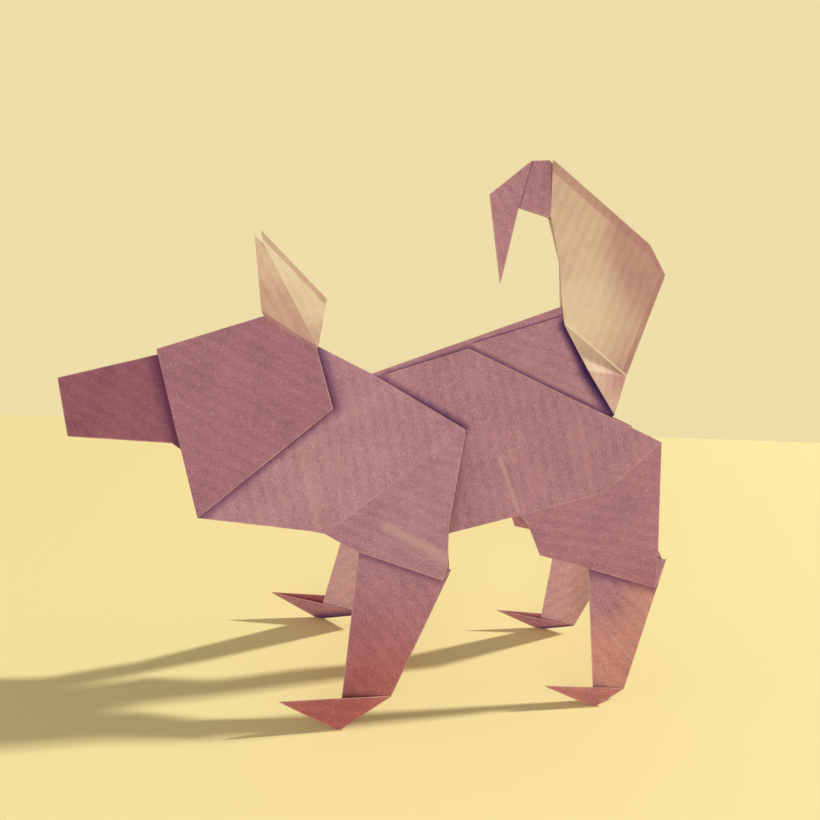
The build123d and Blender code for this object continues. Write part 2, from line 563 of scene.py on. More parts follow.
@dataclass
class Head(FoldedPart):
    """The hood, creased from the crown to the chest, and the muzzle tucked into it."""

    name: str = "head"
    seed: int = 100
    chest_width: float = 19.0 * MILLIMETRE
    head: Corners = field(default_factory=lambda: {
        "nose_ridge": (-0.495, 0, 0.555),
        "nose_corner": (-0.476, 0.305, 0.458),
        "muzzle_ridge": (-0.350, 0, 0.604),
        "muzzle_jaw": (-0.322, 0.471, 0.455),
        "tuck_ridge": (-0.298, 0.040, 0.621),
        "tuck_jaw": (-0.268, 0.741, 0.418),
        "brow": (-0.351, 0, 0.614),
        "crown": (-0.190, 0, 0.683),
        "ear_notch": (-0.109, 0.156, 0.632),
        "cheek": (-0.080, 0.463, 0.527),
        "chest": (-0.279, 1, 0.334),
    })
    panels: Panels = field(default_factory=lambda: {
        "muzzle": Panel(
            ("nose_ridge", "nose_corner", "muzzle_jaw", "muzzle_ridge"),
            ribs=31, shade=0.83, plain=(("muzzle_jaw", "muzzle_ridge"),),
            painted_shadow_edges=HOOD_SHADOW,
        ),
        "muzzle_tuck": Panel(
            ("muzzle_ridge", "muzzle_jaw", "tuck_jaw"),
            ribs=31, shade=0.78, plain=(("muzzle_ridge", "muzzle_jaw"), ("tuck_jaw", "muzzle_ridge")),
            painted_shadow_edges=HOOD_SHADOW,
        ),
        "muzzle_tuck_top": Panel(
            ("muzzle_ridge", "tuck_jaw", "tuck_ridge"),
            ribs=31, shade=0.78, plain=(("muzzle_ridge", "tuck_jaw"), ("tuck_jaw", "tuck_ridge")),
            painted_shadow_edges=HOOD_SHADOW,
        ),
        "hood_front": Panel(
            ("brow", "crown", "chest"),
            ribs=29, shade=0.94, plain=(("crown", "chest"), ("brow", "chest")),
        ),
        "hood_cheek": Panel(
            ("crown", "ear_notch", "cheek", "chest"),
            ribs=29, shade=0.94, plain=(("chest", "crown"),),
        ),
    })

    def tables(self) -> list[tuple[Corners, float]]:
        """The corners and the width across them."""
        return [(self.head, self.chest_width)]


@dataclass
class Ears(FoldedPart):
    """The two ears, each a single layer creased down its middle."""

    name: str = "ears"
    ply: Ply = Ply.SINGLE
    seed: int = 200
    ear_width: float = 6.6 * MILLIMETRE
    ear: Corners = field(default_factory=lambda: {
        "ear_tip": (-0.209, 1, 0.821),
        "ear_point": (-0.200, 1.041, 0.832),
        "ear_cleft": (-0.195, 1.011, 0.807),
        "ear_front": (-0.195, 0.045, 0.692),
        "ear_back": (-0.096, 0.180, 0.720),
        "ear_base": (-0.106, 0.333, 0.632),
        "ear_tuck_front": (-0.171, 0.164, 0.645),
        "ear_tuck_back": (-0.130, 0.176, 0.622),
    })
    panels: Panels = field(default_factory=lambda: {
        "ear_front": Panel(
            ("ear_tip", "ear_front", "ear_base", "ear_cleft"),
            ribs=60, shade=1.03, glow=EAR_FRONT_GLOW,
        ),
        "ear_back": Panel(
            ("ear_point", "ear_back", "ear_base", "ear_cleft"),
            ribs=60, shade=1.03, hems=(("ear_point", "ear_back", 0.9),), glow=EAR_BACK_GLOW,
        ),
        "ear_tuck": Panel(("ear_front", "ear_base", "ear_tuck_back"), ribs=60, shade=0.92),
        "ear_tuck_front": Panel(("ear_front", "ear_tuck_back", "ear_tuck_front"), ribs=60, shade=0.92),
    })

    def tables(self) -> list[tuple[Corners, float]]:
        """The corners and the width across them."""
        return [(self.ear, self.ear_width)]


@dataclass
class Neck(FoldedPart):
    """The neck and shoulders over the front of the body."""

    name: str = "neck"
    seed: int = 300
    chest_width: float = 19.0 * MILLIMETRE
    neck: Corners = field(default_factory=lambda: {
        "nape": (-0.185, 0, 0.674),
        "withers": (-0.017, 0, 0.587),
        "shoulder": (0.135, 0.526, 0.498),
        "brisket": (-0.083, 0.822, 0.302),
        "throat": (-0.107, 0.839, 0.308),
    })
    panels: Panels = field(default_factory=lambda: {
        "neck_lining": Panel(
            ("brow", "nape", "chest"),
            ribs=77, shade=0.95, plain=(("nape", "chest"),),
        ),
        "neck": Panel(
            ("nape", "withers", "brisket", "throat", "chest"),
            ribs=77, shade=1.03, plain=(("withers", "brisket"), ("chest", "nape")),
            # Painted shadow of the hood's edges on the neck
            painted_shadow_edges=(("ear_notch", "cheek", 3.2), ("cheek", "chest", 2.2)),
            creases=(Crease((-0.124, 0.450), (-0.090, 0.302), 1.3, 0.18),),
        ),
        "shoulder": Panel(
            ("withers", "shoulder", "brisket"),
            ribs=77, shade=1.03, plain=(("brisket", "withers"),),
        ),
        "crimp": Panel(("withers", "shoulder", "crimp_low"), ribs=72, shade=0.9),
    })

    def tables(self) -> list[tuple[Corners, float]]:
        """The corners and the width across them."""
        return [(self.neck, self.chest_width)]


@dataclass
class FrontLegs(FoldedPart):
    """The upper front legs, their pleated cuffs, the lower legs and the feet."""

    name: str = "front_legs"
    seed: int = 400
    cuff_width: float = 32.0 * MILLIMETRE
    front_stance: float = 47.6 * MILLIMETRE
    cuff: Corners = field(default_factory=lambda: {
        "forearm": (0.105, 0.780, 0.338),
        "elbow": (0.101, 1, 0.269),
        "cuff_back": (0.093, 1.048, 0.249),
        "cuff_front": (-0.032, 0.674, 0.279),
        "cuff_tip": (-0.060, 0.576, 0.291),
        "front_pleat_out": (0.109, 0.950, 0.262),
        "front_pleat_in": (0.110, 0.812, 0.259),
        "forearm_in": (0.105, 0.649, 0.329),
        "shin_top": (-0.027, 0.525, 0.303),
    })
    front_foot: Corners = field(default_factory=lambda: {
        "front_point": (-0.060, 1, 0),
        "front_heel_out": (0.018, 0.937, 0.055),
        "front_heel_in": (0.025, 0.769, 0.034),
        "front_toe": (-0.150, 1.021, 0.059),
    })
    panels: Panels = field(default_factory=lambda: {
        "upper_arm": Panel(
            ("shoulder", "forearm", "elbow", "cuff_back", "cuff_front", "cuff_tip", "brisket"),
            ribs=25, shade=1.02, plain=(("cuff_tip", "brisket"),),
            # A wide pale streak across the upper arm, drawn like an opened crease
            creases=(Crease((0.0, 0.327), (0.118, 0.271), 1.6, 0.42),),
        ),
        "cuff_return": Panel(
            ("cuff_front", "cuff_back", "front_pleat_out"),
            ribs=25, shade=1.0, plain=(("front_pleat_out", "cuff_front"),),
        ),
        "cuff_return_front": Panel(
            ("cuff_front", "front_pleat_out", "shin_top"),
            ribs=25, shade=1.0,
            plain=(("cuff_front", "front_pleat_out"), ("front_pleat_out", "shin_top")),
        ),
        "shin_out": Panel(
            ("shin_top", "front_point", "front_heel_out"),
            ribs=50, shade=1.02,
            # Painted shadow of the cuff on the shin
            painted_shadow_edges=(("cuff_tip", "cuff_front", 1.5), ("cuff_front", "cuff_back", 1.8)),
            plain=(("front_heel_out", "shin_top"), ("front_point", "front_heel_out")),
        ),
        "calf_out": Panel(
            ("shin_top", "front_heel_out", "front_pleat_out"),
            # Painted shadow of the cuff on the calf
            ribs=50, shade=1.02, painted_shadow_edges=(("cuff_front", "cuff_back", 1.8),),
            plain=(("shin_top", "front_heel_out"), ("front_pleat_out", "shin_top")),
        ),
        "shin_in": Panel(
            ("shin_top", "front_point", "front_heel_in"),
            ribs=130, shade=1.1, ground=0.1,
            plain=(("front_heel_in", "shin_top"), ("front_point", "front_heel_in")),
        ),
        "calf_in": Panel(
            ("shin_top", "front_heel_in", "front_pleat_in"),
            ribs=130, shade=1.1, ground=0.1,
            plain=(("shin_top", "front_heel_in"), ("front_pleat_in", "shin_top")),
        ),
        "arm_lining": Panel(
            ("shoulder", "brisket", "shin_top"),
            ribs=155, plain=(("shin_top", "shoulder"),),
        ),
        "arm_lining_back": Panel(
            ("shoulder", "shin_top", "forearm_in"),
            ribs=155, plain=(("shoulder", "shin_top"), ("shin_top", "forearm_in")),
        ),
        "arm_lining_low": Panel(
            ("shin_top", "front_pleat_in", "forearm_in"),
            ribs=155, plain=(("shin_top", "front_pleat_in"), ("shin_top", "forearm_in")),
        ),
        "front_foot_out": Panel(
            ("front_toe", "front_heel_out", "front_point"),
            ribs=10, shade=0.985, ground=0.92,
        ),
        "front_foot_in": Panel(
            ("front_toe", "front_heel_in", "front_point"),
            # Painted shadow in the hollow of the foot
            ribs=10, ground=0.3, painted_gap_shadow_edges=(("front_heel_in", "front_point", 2.6),),
        ),
    })

    def tables(self) -> list[tuple[Corners, float]]:
        """The corners and the width across them."""
        return [(self.cuff, self.cuff_width), (self.front_foot, self.front_stance)]


@dataclass
class Body(FoldedPart):
    """The body: the walls of the rump, and the hips folded over them."""

    name: str = "body"
    seed: int = 500
    body_width: float = 14.8 * MILLIMETRE
    body: Corners = field(default_factory=lambda: {
        "rump": (0.287, 0, 0.731),
        "rump_edge": (0.298, 0.096, 0.701),
        "tail_gate": (0.384, 0.660, 0.538),
        "tail_root": (0.294, 0.142, 0.699),
        "tail_flare": (0.334, 0.539, 0.618),
        "hip_front": (-0.001, 0.032, 0.584),
        "hip_step": (0.137, 0.096, 0.644),
        "hip": (0.463, 0.986, 0.492),
        "haunch": (0.372, 1.093, 0.393),
        "belly": (0.233, 1, 0.343),
        "belly_front": (0.120, 0.922, 0.304),
        "crimp_low": (0.032, 0.859, 0.273),
    })
    panels: Panels = field(default_factory=lambda: {
        "rump_wall": Panel(
            ("withers", "rump", "rump_edge", "tail_gate", "belly"),
            ribs=18, shade=0.99, plain=(("belly", "withers"),),
            # Painted shadow of the hip's edge and of the tail's edge on the wall
            painted_shadow_edges=(
                ("hip_front", "hip_step", 1.0), ("hip_step", "hip", 1.3),
                ("tail_root", "tail_flare", 2.4), ("tail_flare", "tail_gate", 2.6),
            ),
            # Painted shadow in the opening beside the tail
            painted_gap_shadow_edges=(("tail_root", "tail_flare", 1.8), ("tail_flare", "tail_gate", 2.8)),
            # A dark line of painted shadow below the top of the wall
            dark_lines=(Crease((0.135, 0.648), (0.300, 0.717), 0.28, 1.0),),
        ),
        "hip": Panel(
            ("withers", "hip_front", "hip_step", "hip", "haunch", "belly", "belly_front", "crimp_low"),
            # Painted shadow of the shoulder's edges on the hip
            ribs=74, shade=0.99, painted_shadow_edges=(("withers", "shoulder", 1.8), ("shoulder", "crimp_low", 1.1)),
            creases=(Crease((0.193, 0.452), (0.233, 0.336), 0.7, 0.35),),
        ),
    })

    def tables(self) -> list[tuple[Corners, float]]:
        """The corners and the width across them."""
        return [(self.body, self.body_width)]


@dataclass
class HindLegs(FoldedPart):
    """The thighs, their pleated cuffs, the lower hind legs and the feet."""

    name: str = "hind_legs"
    seed: int = 600
    hock_width: float = 21.2 * MILLIMETRE
    hind_stance: float = 35.2 * MILLIMETRE
    thigh: Corners = field(default_factory=lambda: {
        "hock": (0.469, 1, 0.278),
        "thigh_back": (0.468, 1.089, 0.215),
        "thigh_middle": (0.347, 0.933, 0.249),
        "thigh_front": (0.293, 0.865, 0.263),
        "thigh_tip": (0.270, 0.836, 0.269),
        "groin": (0.248, 0.738, 0.325),
        "hind_pleat_out": (0.489, 0.906, 0.265),
        "hind_pleat_in": (0.488, 0.792, 0.260),
        "haunch_in": (0.472, 0.783, 0.290),
        "hind_shin_top": (0.353, 0.830, 0.268),
    })
    hind_foot: Corners = field(default_factory=lambda: {
        "hind_point": (0.363, 1, 0),
        "hind_heel_out": (0.413, 0.966, 0.034),
        "hind_heel_in": (0.423, 0.830, 0.021),
        "hind_toe": (0.275, 1.006, 0.045),
    })
    panels: Panels = field(default_factory=lambda: {
        "thigh": Panel(
            ("hip", "hock", "thigh_back", "thigh_middle", "thigh_front", "thigh_tip", "groin", "belly"),
            ribs=7, shade=0.97, plain=(("belly", "hip"),),
        ),
        "thigh_return": Panel(
            ("thigh_middle", "thigh_back", "hind_pleat_out"),
            ribs=7, shade=1.04, plain=(("hind_pleat_out", "thigh_middle"),),
        ),
        "thigh_return_front": Panel(
            ("thigh_middle", "hind_pleat_out", "hind_shin_top"),
            ribs=7, shade=1.04,
            plain=(("thigh_middle", "hind_pleat_out"), ("hind_pleat_out", "hind_shin_top")),
        ),
        "hind_shin_out": Panel(
            ("hind_shin_top", "hind_point", "hind_heel_out"),
            ribs=50, shade=1.0, ground=0.35,
            # Painted shadow of the thigh's cuff on the shin
            painted_shadow_edges=(("thigh_front", "thigh_middle", 1.4), ("thigh_middle", "thigh_back", 2.4)),
            plain=(("hind_heel_out", "hind_shin_top"), ("hind_point", "hind_heel_out")),
            glow=HIND_SHIN_GLOW,
        ),
        "hind_calf_out": Panel(
            ("hind_shin_top", "hind_heel_out", "hind_pleat_out"),
            # Painted shadow of the thigh's cuff on the calf
            ribs=50, shade=1.0, ground=0.35, painted_shadow_edges=(("thigh_middle", "thigh_back", 2.4),),
            plain=(("hind_shin_top", "hind_heel_out"), ("hind_pleat_out", "hind_shin_top")),
            glow=HIND_SHIN_GLOW,
            creases=(
                Crease((0.366, 0.156), (0.434, 0.073), 0.45, 0.35),
                Crease((0.352, 0.068), (0.412, 0.034), 0.4, 0.6),
            ),
        ),
        "hind_shin_in": Panel(
            ("hind_shin_top", "hind_point", "hind_heel_in"),
            ribs=130, shade=1.1, ground=0.1,
            plain=(("hind_heel_in", "hind_shin_top"), ("hind_point", "hind_heel_in")),
        ),
        "hind_calf_in": Panel(
            ("hind_shin_top", "hind_heel_in", "hind_pleat_in"),
            ribs=130, shade=1.1, ground=0.1,
            plain=(("hind_shin_top", "hind_heel_in"), ("hind_pleat_in", "hind_shin_top")),
        ),
        "thigh_lining": Panel(
            ("hip", "belly", "hind_shin_top"),
            ribs=170, plain=(("hind_shin_top", "hip"),),
        ),
        "thigh_lining_back": Panel(
            ("hip", "hind_shin_top", "haunch_in"),
            ribs=170, plain=(("hip", "hind_shin_top"), ("hind_shin_top", "haunch_in")),
        ),
        "thigh_lining_low": Panel(
            ("hind_shin_top", "hind_pleat_in", "haunch_in"),
            ribs=170, plain=(("hind_shin_top", "hind_pleat_in"), ("hind_shin_top", "haunch_in")),
        ),
        "hind_foot_out": Panel(
            ("hind_toe", "hind_heel_out", "hind_point"),
            ribs=10, shade=1.07, ground=0.8,
        ),
        "hind_foot_in": Panel(
            ("hind_toe", "hind_heel_in", "hind_point"),
            # Painted shadow in the hollow of the foot
            ribs=10, ground=0.3, painted_gap_shadow_edges=(("hind_heel_in", "hind_point", 1.2),),
        ),
    })

    def tables(self) -> list[tuple[Corners, float]]:
        """The corners and the width across them."""
        return [(self.thigh, self.hock_width), (self.hind_foot, self.hind_stance)]


@dataclass
class Tail(FoldedPart):
    """The tail, opened out to a single layer."""

    name: str = "tail"
    ply: Ply = Ply.SINGLE
    seed: int = 700
    tail_width: float = 3.8 * MILLIMETRE
    tail: Corners = field(default_factory=lambda: {
        "tail_hinge": (0.414, 0, 0.604),
        "tail_knee": (0.461, 0, 0.804),
        "tail_back": (0.426, 0.274, 0.858),
        "tail_top": (0.244, 1, 0.995),
        "tail_lip": (0.252, 0.521, 0.897),
        "tail_hollow": (0.277, 0.105, 0.813),
        "tail_front": (0.286, 0.373, 0.745),
        "curl_top": (0.214, 0, 0.991),
        "curl_low": (0.198, 0.340, 0.908),
        "curl_lip_top": (0.243, 0.040, 0.995),
        "curl_lip_low": (0.251, 0.508, 0.894),
        "curl_tuck_top": (0.280, 0.690, 0.955),
        "curl_tuck_low": (0.286, 0.260, 0.875),
        "tip_bend": (0.151, 0, 0.926),
        "tip_end": (0.181, 0.080, 0.769),
    })
    panels: Panels = field(default_factory=lambda: {
        "tail_return": Panel(("rump_edge", "tail_hinge", "tail_gate"), ribs=106, shade=0.9),
        "tail_base": Panel(
            ("tail_root", "tail_hinge", "tail_flare"),
            ribs=106, shade=0.98, glow=TAIL_GLOW, creases=(TAIL_CREASE,),
        ),
        "tail_base_low": Panel(
            ("tail_flare", "tail_hinge", "tail_gate"),
            ribs=106, shade=0.9, glow=TAIL_GLOW,
        ),
        "tail_lower": Panel(
            ("tail_root", "tail_hinge", "tail_knee"),
            ribs=106, hems=(("tail_hinge", "tail_knee", 1.3),), glow=TAIL_GLOW, creases=(TAIL_CREASE,),
        ),
        "tail_middle": Panel(
            ("tail_root", "tail_knee", "tail_hollow", "tail_front"),
            ribs=106, glow=TAIL_GLOW,
        ),
        "tail_upper": Panel(
            ("tail_hollow", "tail_knee", "tail_back", "tail_top", "tail_lip"),
            ribs=106, glow=TAIL_GLOW,
            hems=(("tail_top", "tail_back", 1.7), ("tail_back", "tail_knee", 0.9)),
        ),
    })

    def tables(self) -> list[tuple[Corners, float]]:
        """The corners and the width across them."""
        return [(self.tail, self.tail_width)]


@dataclass
class TailCurl(FoldedPart):
    """The end of the tail, folded again, bent over and down to its tip.

    Its corners are in the tail's table.
    """

    name: str = "tail_end"
    seed: int = 800
    panels: Panels = field(default_factory=lambda: {
        "tail_curl": Panel(
            ("curl_top", "curl_lip_top", "curl_lip_low", "curl_low"),
            # A dark line along the fold to the tip, in the tint of the painted shadow
            ribs=95, shade=0.98, dark_lines=(Crease((0.216, 1.001), (0.196, 0.898), 0.7, 0.8),),
        ),
        "curl_tuck": Panel(("curl_lip_top", "curl_tuck_top", "curl_lip_low"), ribs=95, shade=0.9),
        "curl_tuck_lower": Panel(
            ("curl_tuck_top", "curl_tuck_low", "curl_lip_low"),
            ribs=95, shade=0.9,
        ),
        "tail_tip_upper": Panel(
            ("curl_top", "tip_bend", "curl_low"),
            ribs=60, shade=1.0, plain=(("curl_low", "tip_bend"),),
        ),
        "tail_tip": Panel(
            ("tip_bend", "tip_end", "curl_low"),
            ribs=60, shade=1.0, plain=(("tip_bend", "curl_low"),),
        ),
    })


def linear_colour(code: str) -> tuple[float, float, float, float]:
    """The linear colour of an sRGB hex code such as "#b08050".

    Each channel c is c / 12.92 up to 0.04045, and above it ((c + 0.055) / 1.055) to the power 2.4.
    """
    channels = np.array([int(code[place:place + 2], 16) for place in (1, 3, 5)]) / 255
    linear = np.where(channels <= 0.04045, channels / 12.92, ((channels + 0.055) / 1.055) ** 2.4)
    return (*linear.tolist(), 1.0)


def add_node(tree: Tree, kind: str, links: dict | None = None, **settings) -> bpy.types.Node:
    """Adds a node with its settings and links.

    Args:
        tree: the node tree.
        kind: the node's type.
        links: for each input, by name or number, the socket that feeds it or its own value.
        settings: the node's properties.

    Returns:
        The node.
    """
    node = tree.nodes.new(kind)
    for title, value in settings.items():
        setattr(node, title, value)
    for title, value in (links or {}).items():
        if isinstance(value, Socket):
            tree.links.new(value, node.inputs[title])
        else:
            node.inputs[title].default_value = value
    return node


@dataclass(frozen=True)
class RibbedKraft:
    """Ribbed kraft wrapping paper, brown, machine glazed, with ribs pressed in along the web.

    Unbleached sulphate pulp of 90 g per square metre. It is matt and speckled with fibre, the ribs
    show as soft lighter and darker lines 2.4 mm apart, and each fold that was pressed with a nail
    is a thin pale line, because the fibres there are broken. Sizes are in millimetres.

    Attributes:
        name: the material's name.
        fibre_dark: sRGB hex code of the paper at its darkest.
        fibre_light: the paper at its palest.
        lit: the paper where daylight through it is painted.
        worn: pressed and opened folds.
        ground: tint of the painted reddish light from the table on the lower legs.
        fleck: ends of fibres.
        pinch: tint of the painted shadow beside a layer that lies over this one.
        gap: tint of the painted shadow where the paper turns away into an opening.
        rib_pitch: distance from one rib to the next.
        rib_drift: size of the clouds that push the ribs aside.
        rib_wander: how far they push them, at their peaks' full height.
        speckle: size of the pulp's speckle.
        fibre_length: length of a fibre along the ribs.
        fibre_width: width of a fibre, as a share of the speckle.
        cloud: size of the pulp's clouds.
        rib_contrast: how much of the colour's range the ribs take.
        speckle_contrast: the same for the speckle.
        fibre_contrast: the same for the fibres.
        cloud_contrast: the same for the clouds.
        noise_roughness: how much of the finer noise is in each coarser one.
        worn_width: width of the pale line along a pressed fold.
        worn_core: the part of that width that is wholly pale.
        worn_share: how pale the line is.
        worn_break: how much the clouds break it.
        line_core: share of an opened fold's half width that is wholly pale.
        line_taper: how far from its middle it starts to end, where 0.5 is its end.
        fleck_size: size of a fleck.
        fleck_peak: height of the noise at which a fleck starts.
        fleck_rise: height from there to its full strength.
        fleck_share: how strong it is.
        painted_glow_onset: how fast the painted daylight comes up from nothing.
        painted_glow_unevenness: how much the weave breaks that painted daylight.
        hem_inside: share of a hem's width at which the hem starts to fade out.
        hem_share: how much less painted daylight a hem has.
        hem_shade: painted shade of a hem, where less daylight comes through.
        shade_powers: for red, green and blue, the power to which a panel's painted shade is raised.
        painted_table_light_height: height at which the painted light from the table ends.
        painted_table_light_share: strength of that painted light.
        bump_strength: strength of the bump from the weave.
        bump_depth: its depth, in metres.
        specular: level of the gloss.
        roughness: roughness of the gloss.
    """

    name: str = "ribbed_kraft_paper"
    fibre_dark: str = "#936677"
    fibre_light: str = "#cd9ca8"
    lit: str = "#e6b094"
    worn: str = "#dcb8a8"
    ground: str = "#f2ba9f"
    fleck: str = "#e6c6c0"
    pinch: str = "#b09acb"
    gap: str = "#7061b3"
    rib_pitch: float = 2.4
    rib_drift: float = 9.0
    rib_wander: float = 1.2
    speckle: float = 0.34
    fibre_length: float = 1.6
    fibre_width: float = 0.7
    cloud: float = 7.0
    rib_contrast: float = 0.06
    speckle_contrast: float = 1.2
    fibre_contrast: float = 0.6
    cloud_contrast: float = 0.6
    noise_roughness: float = 0.6
    worn_width: float = 0.22
    worn_core: float = 0.05
    worn_share: float = 0.45
    worn_break: float = 1.6
    line_core: float = 0.1
    line_taper: float = 0.4
    fleck_size: float = 0.42
    fleck_peak: float = 0.14
    fleck_rise: float = 0.08
    fleck_share: float = 0.35
    painted_glow_onset: float = 4.0
    painted_glow_unevenness: float = 0.8
    hem_inside: float = 0.92
    hem_share: float = 0.45
    hem_shade: float = 0.96
    shade_powers: tuple[float, float, float] = (2.2, 4.0, 3.3)
    painted_table_light_height: float = 34.0
    painted_table_light_share: float = 1.0
    bump_strength: float = 0.5
    bump_depth: float = 0.06 * MILLIMETRE
    specular: float = 0.3
    roughness: float = 0.78

    def make(self) -> bpy.types.Material:
        """Makes the material.

        Returns:
            The material, which reads the ribs map, Object coordinates and the mesh's attributes, which
            are named as in FoldedPart.build.
        """
        material = bpy.data.materials.new(self.name)
        material.use_nodes = True
        tree = material.node_tree
        tree.nodes.clear()
        cloud = self.noise(tree, self.cloud, detail=2.0)
        weave = self.mix_of_heights(tree, (
            (self.rib_lines(tree), self.rib_contrast),
            (self.noise(tree, self.speckle, detail=4.0), self.speckle_contrast),
            (self.fibres(tree), self.fibre_contrast),
            (cloud, self.cloud_contrast),
        ))
        colour = add_node(tree, "ShaderNodeMix", {
            "Factor": weave, "A": linear_colour(self.fibre_dark), "B": linear_colour(self.fibre_light),
        }, data_type="RGBA").outputs["Result"]
        # Painted daylight through the paper
        colour = self.laid(tree, colour, self.lit, self.painted_glow_places(tree, weave))
        colour = self.laid(tree, colour, self.fleck, self.flecks(tree))
        # Painted reddish light from the table on the lower legs
        colour = self.laid(tree, colour, self.ground, self.painted_table_light_fade(tree), "MULTIPLY")
        # Painted shade of each panel and of its hems
        colour = self.shaded(tree, colour)
        colour = self.laid(tree, colour, self.worn, self.worn_lines(tree, cloud))
        # Dark lines in the tint of the painted shadow
        colour = self.laid(tree, colour, self.pinch, self.line(tree, "score"), "MULTIPLY")
        # Painted shadow beside overlying layers and in openings
        for name, tint in (("pinch", self.pinch), ("gap", self.gap)):
            near = self.fade(tree, self.attribute(tree, name), 0.0, 1.0)
            colour = self.laid(tree, colour, tint, near, "MULTIPLY")
        bump = add_node(tree, "ShaderNodeBump", {
            "Strength": self.bump_strength, "Distance": self.bump_depth, "Height": weave,
        }).outputs["Normal"]
        shader = add_node(tree, "ShaderNodeBsdfPrincipled", {
            "Base Color": colour, "Roughness": self.roughness, "Specular IOR Level": self.specular,
            "Normal": bump,
        })
        add_node(tree, "ShaderNodeOutputMaterial", {"Surface": shader.outputs["BSDF"]})
        return material

    def attribute(self, tree: Tree, name: str, socket: str = "Fac") -> Socket:
        """One of the mesh's own measures."""
        return add_node(tree, "ShaderNodeAttribute", attribute_name=name).outputs[socket]

    def maths(self, tree: Tree, operation: str, *values, clamp: bool = False) -> Socket:
        """Result of one operation on sockets or numbers, kept between 0 and 1 where clamp is set."""
        node = add_node(
            tree, "ShaderNodeMath", dict(enumerate(values)), operation=operation, use_clamp=clamp,
        )
        return node.outputs["Value"]

    def fade(self, tree: Tree, value: Socket, start: float, end: float) -> Socket:
        """A smooth fall from 1 at start to 0 at end."""
        return add_node(tree, "ShaderNodeMapRange", {
            "Value": value, "From Min": start, "From Max": end, "To Min": 1.0, "To Max": 0.0,
        }, interpolation_type="SMOOTHSTEP").outputs["Result"]

    def laid(self, tree: Tree, colour: Socket, code: str, share: Socket, blend: str = "MIX") -> Socket:
        """A colour laid over another by a share, or multiplied by it, so that its fibres still show.

        Args:
            tree: the node tree.
            colour: the colour below.
            code: sRGB hex code of the colour above.
            share: how much of it, from 0 to 1.
            blend: MIX or MULTIPLY.

        Returns:
            The colour.
        """
        return add_node(tree, "ShaderNodeMix", {
            "Factor": share, "A": colour, "B": linear_colour(code),
        }, data_type="RGBA", blend_type=blend).outputs["Result"]

    def line(self, tree: Tree, name: str) -> Socket:
        """Strength of one of the mesh's lines: its own, fading sideways and at its two ends."""
        place = add_node(tree, "ShaderNodeSeparateXYZ", {"Vector": self.attribute(tree, name, "Vector")})
        off = self.maths(tree, "ABSOLUTE", place.outputs["Y"])
        from_middle = self.maths(tree, "SUBTRACT", place.outputs["X"], 0.5)
        along = self.maths(tree, "ABSOLUTE", from_middle)
        sides = self.fade(tree, off, self.line_core, 1.0)
        shape = self.maths(tree, "MULTIPLY", sides, self.fade(tree, along, self.line_taper, 0.5))
        return self.maths(tree, "MULTIPLY", shape, place.outputs["Z"])

    def noise(self, tree: Tree, size: float, detail: float) -> Socket:
        """Noise with features of a size in millimetres, on Object coordinates, around 0."""
        coordinates = add_node(tree, "ShaderNodeTexCoord").outputs["Object"]
        node = add_node(tree, "ShaderNodeTexNoise", {
            "Vector": coordinates, "Scale": 1 / (size * MILLIMETRE), "Detail": detail,
            "Roughness": self.noise_roughness,
        })
        return self.maths(tree, "SUBTRACT", node.outputs["Fac"], 0.5)

    def fibres(self, tree: Tree) -> Socket:
        """Short fibres along the ribs: noise drawn out along the web, around 0."""
        place = add_node(tree, "ShaderNodeUVMap", uv_map="ribs").outputs["UV"]
        width = self.speckle * self.fibre_width
        drawn = add_node(tree, "ShaderNodeMapping", {
            "Vector": place, "Scale": (1 / width, 1 / self.fibre_length, 1.0),
        }).outputs["Vector"]
        node = add_node(tree, "ShaderNodeTexNoise", {"Vector": drawn, "Scale": 1.0, "Detail": 2.0})
        return self.maths(tree, "SUBTRACT", node.outputs["Fac"], 0.5)

    def rib_lines(self, tree: Tree) -> Socket:
        """The ribs: sine of the place across them over their pitch, with a slow drift, from -1 to 1."""
        place = add_node(tree, "ShaderNodeUVMap", uv_map="ribs").outputs["UV"]
        across = add_node(tree, "ShaderNodeSeparateXYZ", {"Vector": place}).outputs["X"]
        drift = self.noise(tree, self.rib_drift, detail=1.0)
        turn = self.maths(tree, "MULTIPLY_ADD", drift, self.rib_wander, across)
        return self.maths(tree, "SINE", self.maths(tree, "MULTIPLY", turn, 2 * math.pi / self.rib_pitch))

    def mix_of_heights(self, tree: Tree, layers: tuple[tuple[Socket, float], ...]) -> Socket:
        """Sum of layers times their contrasts, around a half."""
        total: float | Socket = 0.5
        for socket, contrast in layers:
            total = self.maths(tree, "MULTIPLY_ADD", socket, contrast, total)
        return total

    def hem(self, tree: Tree) -> Socket:
        """Where a second layer lies behind: 1 on a hem, and 0 off it."""
        return self.fade(tree, self.attribute(tree, "hem"), self.hem_inside, 1.0)

    def painted_glow_places(self, tree: Tree, weave: Socket) -> Socket:
        """Where painted daylight shows through one layer: the tone, uneven, and less on a hem."""
        tone = self.attribute(tree, "tone")
        relief = self.maths(tree, "SUBTRACT", weave, 0.5)
        uneven = self.maths(tree, "MULTIPLY_ADD", relief, self.painted_glow_unevenness, tone)
        onset = self.maths(tree, "MINIMUM", self.maths(tree, "MULTIPLY", tone, self.painted_glow_onset), 1.0)
        through = self.maths(tree, "MULTIPLY_ADD", self.hem(tree), -self.hem_share, 1.0)
        kept = self.maths(tree, "MULTIPLY", onset, uneven)
        return self.maths(tree, "MULTIPLY", kept, through, clamp=True)

